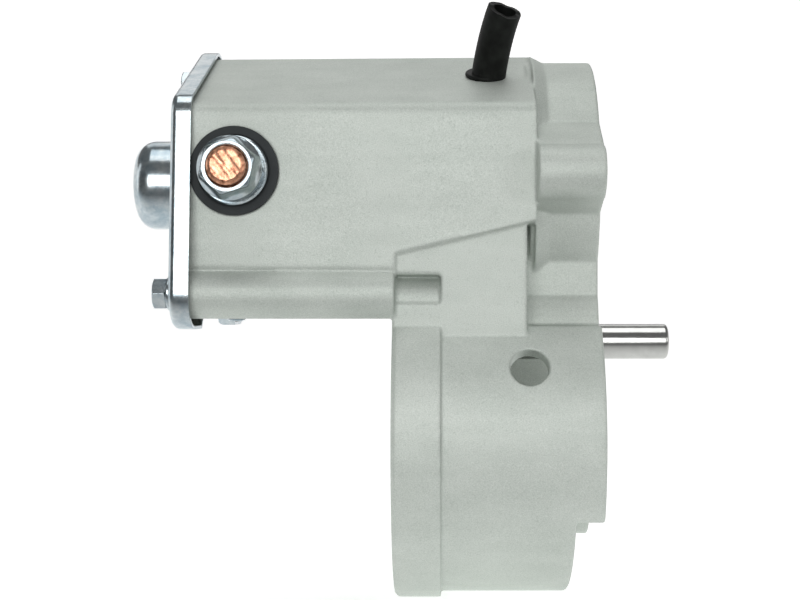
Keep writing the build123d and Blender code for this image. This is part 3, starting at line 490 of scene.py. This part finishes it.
def cast_housing():
    """The casting with every edge and corner softened: the CAD mesh is merged, remeshed in
    small cells, relaxed so that sharp edges round off by half a millimetre, and thinned."""
    source = frame["nodes"]["housing"]
    mesh = source.data.copy()
    work = bmesh.new()
    work.from_mesh(mesh)
    bmesh.ops.remove_doubles(work, verts=work.verts, dist=1e-6)
    work.to_mesh(mesh)
    work.free()
    obj = bpy.data.objects.new("housing_casting", mesh)
    bpy.context.scene.collection.objects.link(obj)
    remesh = obj.modifiers.new("cells", "REMESH")
    remesh.mode = "VOXEL"
    remesh.voxel_size = VOXEL * MM
    relax = obj.modifiers.new("relax", "SMOOTH")
    relax.factor = 0.5
    relax.iterations = 2
    depsgraph = bpy.context.evaluated_depsgraph_get()
    dense = bpy.data.meshes.new_from_object(obj.evaluated_get(depsgraph))
    obj.modifiers.clear()
    obj.data = dense
    thin = obj.modifiers.new("thin", "DECIMATE")
    thin.ratio = min(1.0, HOUSING_TRIANGLES / (2 * len(dense.polygons)))
    depsgraph.update()
    depsgraph = bpy.context.evaluated_depsgraph_get()
    final = bpy.data.meshes.new_from_object(obj.evaluated_get(depsgraph))
    bpy.data.objects.remove(obj)
    return piece("housing_casting", final, "housing", 60.0)


NUT_ACROSS, FLANGE_R, FLANGE_T = 13.0, 8.55, 3.3
CORNER_LEAN = math.radians(77.6)
STUD_R, STUD_PITCH, STUD_TIP, STUD_WEAR = 5.0, 1.5, 0.9, 0.75
STUD_HEAD_T, STUD_HEAD_HALF, SUNK = 3.0, 7, 0.2
LOCK_OUT_R, LOCK_IN_R, LOCK_SLACK, LOCK_CUT = 8.1, 5.2, 0.3, 0.06
SWITCH_HEAD_T, SWITCH_STUD_R, SWITCH_PITCH = 2.4, 2.5, 0.8
SWITCH_NUT_ACROSS, SWITCH_NUT_BORE_R = 8.0, 2.55
SCREW_ACROSS, SCREW_HEAD, SCREW_R, SCREW_PITCH = 8.0, 3.65, 2.5, 0.8
SPLIT_R, TOP_HEAD_R = 4.6, 4.0      # from a row of fasteners' box edge to their axis
TUBE_OUT_R, TUBE_IN_R, TUBE_BEND = 4.88, 3.3, 10.0


def corner_turn(side):
    """Angle, in the nut's own frame, of a corner that leans CORNER_LEAN from +X towards +Z."""
    u, v, _ = frame_of((0, side, 0))
    corner = np.array([math.cos(CORNER_LEAN), 0.0, math.sin(CORNER_LEAN)])
    return math.atan2(corner @ v, corner @ u)


def terminals():
    """Threaded copper studs with their flange nuts, near and far."""
    for side, where in ((-1, "battery"), (1, "motor")):
        low, high = (np.array(v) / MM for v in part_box(where + "_stud"))
        nut_low, nut_high = (np.array(v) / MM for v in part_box(where + "_nut"))
        x, _, z = (nut_low + nut_high) / 2
        tip_y = low[1] if side < 0 else high[1]
        head_y = high[1] if side < 0 else low[1]
        head_in = head_y + side * STUD_HEAD_T
        length = abs(tip_y - head_in) + SUNK
        origin = np.array([x, head_in - side * SUNK, z]) * MM
        stud = stud_grid(origin, (0, side, 0), length, STUD_R, STUD_PITCH, STUD_TIP, STUD_WEAR)
        head_low = (low[0], min(head_y, head_in), z - STUD_HEAD_HALF)
        head = box_grid(head_low, (high[0], max(head_y, head_in), z + STUD_HEAD_HALF))
        piece(where + "_stud_thread", woven(where + "_stud", [stud, head]), where + "_stud", 50.0)
        foot_y = nut_high[1] if side < 0 else nut_low[1]
        height = nut_high[1] - nut_low[1]
        seat = np.array([x, foot_y, z]) * MM
        nut = flange_nut_grid(seat, (0, side, 0), height, corner_turn(side))
        piece(where + "_hex_nut", woven(where + "_nut", [nut]), where + "_nut", 28.0)
        low, high = (np.array(v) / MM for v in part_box(where + "_lock_washer"))
        seat = np.array([x, high[1] if side < 0 else low[1], z]) * MM
        thickness = high[1] - low[1] - LOCK_SLACK
        ring = spring_washer_grid(seat, (0, side, 0), LOCK_OUT_R, LOCK_IN_R, thickness, LOCK_CUT, 0.25)
        mesh = woven(where + "_lock_washer", [ring])
        piece(where + "_split_washer", mesh, where + "_lock_washer", 40.0)


def switch_terminal():
    """Small stud and nut for the switch wire."""
    low, high = (np.array(v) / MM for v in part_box("switch_stud"))
    x, y = (low[0] + high[0]) / 2, (low[1] + high[1]) / 2
    base_z = high[2] - SWITCH_HEAD_T
    origin = np.array([x, y, base_z + SUNK]) * MM
    length = base_z + SUNK - low[2]
    stud = stud_grid(origin, (0, 0, -1), length, SWITCH_STUD_R, SWITCH_PITCH, 0.5, 0.2)
    head = box_grid((low[0], low[1], base_z), (high[0], high[1], high[2]))
    piece("switch_stud_thread", woven("switch_stud", [stud, head]), "switch_stud", 50.0)
    low, high = (np.array(v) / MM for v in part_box("switch_nut"))
    seat, height = np.array([x, y, high[2]]) * MM, high[2] - low[2]
    nut = nut_grid(seat, (0, 0, -1), SWITCH_NUT_ACROSS, height, SWITCH_NUT_BORE_R, 0.0, SWITCH_PITCH)
    piece("switch_hex_nut", woven("switch_nut", [nut]), "switch_nut", 28.0)


def cover_fasteners():
    """Three screws with split washers. Their places come from the boxes of the CAD nodes."""
    high = np.array(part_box("cover_bolts")[1]) / MM
    washer_low, washer_high = (np.array(v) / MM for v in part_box("cover_spring_washers"))
    seat_x = washer_low[0]
    near_y, far_y = washer_low[1] + SPLIT_R, washer_high[1] - SPLIT_R
    foot_z, top_z = washer_low[2] + SPLIT_R, high[2] - TOP_HEAD_R
    shank = high[0] - seat_x - 0.05
    thickness = washer_high[0] - washer_low[0] - 0.35
    bolts, washers = [], []
    for y, z in ((near_y, foot_z), (far_y, foot_z), ((near_y + far_y) / 2, top_z)):
        seat = np.array([seat_x, y, z]) * MM
        size = (SCREW_ACROSS, SCREW_HEAD, shank, SCREW_R, SCREW_PITCH)
        bolts.append(bolt_grid(seat, (1, 0, 0), *size, TURN / 12))
        washers.append(spring_washer_grid(seat, (1, 0, 0), 4.55, 2.7, thickness, LOCK_CUT, 0.3))
    piece("cover_screws", woven("cover_screws", bolts), "cover_bolts", 30.0)
    piece("cover_lock_washers", woven("cover_lock_washers", washers), "cover_spring_washers", 40.0)


def vent():
    """Rubber tube: a ring section carried along a shallow quadratic curve, with a wall of
    1.6 mm, slightly oval, and a rough-cut mouth that slants by half a millimetre."""
    mount = record_mount("vent_tube_mouth")
    mouth = np.array(mount["pos_m"]) / MM
    lean = np.array(mount["axis"])
    lean /= np.linalg.norm(lean)
    half = mount["dims"]["length_mm"] / 2
    end = mouth + lean * half
    low, high = (np.array(v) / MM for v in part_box("vent_grommet"))
    foot = (low + high) / 2 + np.array([0.3, 0.0, -1.5])
    bend = end - lean * TUBE_BEND
    t = np.linspace(0, 1, 120)[:, None]
    path = foot * (1 - t) ** 2 + 2 * bend * t * (1 - t) + end * t**2
    along = np.gradient(path, axis=0)
    along /= np.linalg.norm(along, axis=1)[:, None]
    u = np.cross(along, np.array([0.0, 1.0, 0.0]))
    u /= np.linalg.norm(u, axis=1)[:, None]
    v = np.cross(along, u)
    angles = np.linspace(0, TURN, 72, endpoint=False)
    ring = np.cos(angles)[None, :, None] * u[:, None] + np.sin(angles)[None, :, None] * v[:, None]
    reach = np.linspace(0, 1, len(path))[:, None]
    outer = TUBE_OUT_R - 0.12 * reach + 0.06 * np.cos(2 * angles + 0.5)[None, :] * reach
    inner = np.full(outer.shape, TUBE_IN_R)
    ragged = 0.22 * np.sin(angles * 2 + 1.0) + 0.10 * np.sin(angles * 5 + 0.4) + 0.05 * np.sin(angles * 9)
    cut = np.clip((reach - 0.93) / 0.07, 0, 1) * (ragged[None, :] - 0.45)
    shift = cut[..., None] * along[:, None]
    outside = path[:, None] + outer[..., None] * ring + shift
    inside = path[:, None] + inner[..., None] * ring + shift
    lip = (outside[-1:] * 0.5 + inside[-1:] * 0.5) - along[-1] * 0.12
    grid = np.concatenate([outside, lip, inside[::-1]]) * MM
    piece("vent_hose", woven("vent_hose", [(grid, True)]), "vent_tube", 60.0)


# ---- studio --------------------------------------------------------------------------------
CAMERA_PLACE = (0.01396, -0.3816, 0.0385)
LENS, SENSOR, SIDE_SHIFT = 58.05, 36, -0.055
FLOOR_Z = CAD_BOX[0][2] - 0.0002
FLAT, BEND, WALL = 1.6, 0.9, 0.3
# The floor paper glows as painted light. Its glow and colour fade to a low level in front of the object, as
# painted shade under it.
PAPER_GLOW = 0.53
GLOW_FADE_LENGTH, GLOW_FADE_LEVEL = 0.20, 0.14
ROOM = 0.20
SOFT_BOXES = (
    ("front_box", (-0.10, -1.2, 0.24), (0.0, 0.0, 0.04), (0.8, 0.56), 7.3),
    ("top_box", (0.0, -0.15, 1.1), (0.0, 0.0, 0.05), (0.7, 0.7), 3.4),
    ("left_box", (-1.1, -0.1, 0.35), (0.0, 0.0, 0.05), (0.3, 0.8), 0.8),
    ("right_box", (0.95, -0.75, 0.25), (0.0, 0.0, 0.05), (0.5, 0.5), 2.0),
    ("back_box", (-0.1, 1.0, 1.15), (0.0, 0.0, 0.05), (1.3, 0.7), 2.6),
)


def floor():
    """Pale paper under the object that glows as painted light and fades darker towards the camera: a level
    disc whose rim sweeps up as a quarter circle, so that there is no horizon line. Height is 0 out to radius
    FLAT, then BEND*(1 - cos a)."""
    angles = np.linspace(0, TURN, 96, endpoint=False)
    a = np.linspace(0, math.pi / 2, 24)[:, None]
    r = np.concatenate([[[0.0]], np.full((1, 1), FLAT), FLAT + BEND * np.sin(a), [[FLAT + BEND]]])
    z = np.concatenate([[[0.0]], np.zeros((1, 1)), BEND * (1 - np.cos(a)), [[BEND + WALL]]])
    grid = np.stack([r * np.cos(angles), r * np.sin(angles), z + FLOOR_Z + 0 * angles], -1)
    mesh = woven("floor", [(grid, False)])
    mesh.flip_normals()
    mesh.polygons.foreach_set("use_smooth", np.ones(len(mesh.polygons), bool))
    paper = Finish("glowing_floor_paper", Roughness=0.8, Specular_IOR_Level=0.1, Emission_Strength=PAPER_GLOW)
    # Painted light and shade: the paper's glow and colour are full from under the object backwards. Over a
    # short run towards the camera they fade to a low level, which dims the glow thrown onto the object's
    # underside.
    glow_fade = paper.ramp(along_axis(paper, "Y") * (1 / GLOW_FADE_LENGTH) + 1.0, (0.0, GLOW_FADE_LEVEL), (1.0, 1.0))
    mesh.materials.append(paper.wear(Base_Color=glow_fade, Emission_Color=glow_fade))
    obj = bpy.data.objects.new("floor", mesh)
    bpy.context.scene.collection.objects.link(obj)


def soft_box(name, place, aim, size, power):
    """Area light at place that faces aim."""
    data = bpy.data.lights.new(name, "AREA")
    data.shape = "RECTANGLE"
    data.size, data.size_y = size
    data.energy = power
    obj = bpy.data.objects.new(name, data)
    bpy.context.scene.collection.objects.link(obj)
    obj.location = place
    obj.rotation_euler = (Vector(aim) - Vector(place)).to_track_quat("-Z", "Y").to_euler()


def studio():
    """Dim room above the paper, lit by the soft boxes."""
    world = bpy.data.worlds.new("studio")
    world.use_nodes = True
    world.node_tree.nodes["Background"].inputs["Color"].default_value = (1.0, 1.0, 1.0, 1.0)
    world.node_tree.nodes["Background"].inputs["Strength"].default_value = ROOM
    bpy.context.scene.world = world
    bpy.context.scene.view_settings.view_transform = "Standard"
    for box in SOFT_BOXES:
        soft_box(*box)


def camera():
    data = bpy.data.cameras.new("camera")
    data.lens = LENS
    data.sensor_width = SENSOR
    data.shift_x = SIDE_SHIFT
    data.clip_start = 0.01
    obj = bpy.data.objects.new("camera", data)
    bpy.context.scene.collection.objects.link(obj)
    obj.location = CAMERA_PLACE
    obj.rotation_euler = (math.pi / 2, 0, 0)
    bpy.context.scene.camera = obj


dress_nodes()
cast_housing()
terminals()
switch_terminal()
cover_fasteners()
vent()
floor()
studio()
camera()
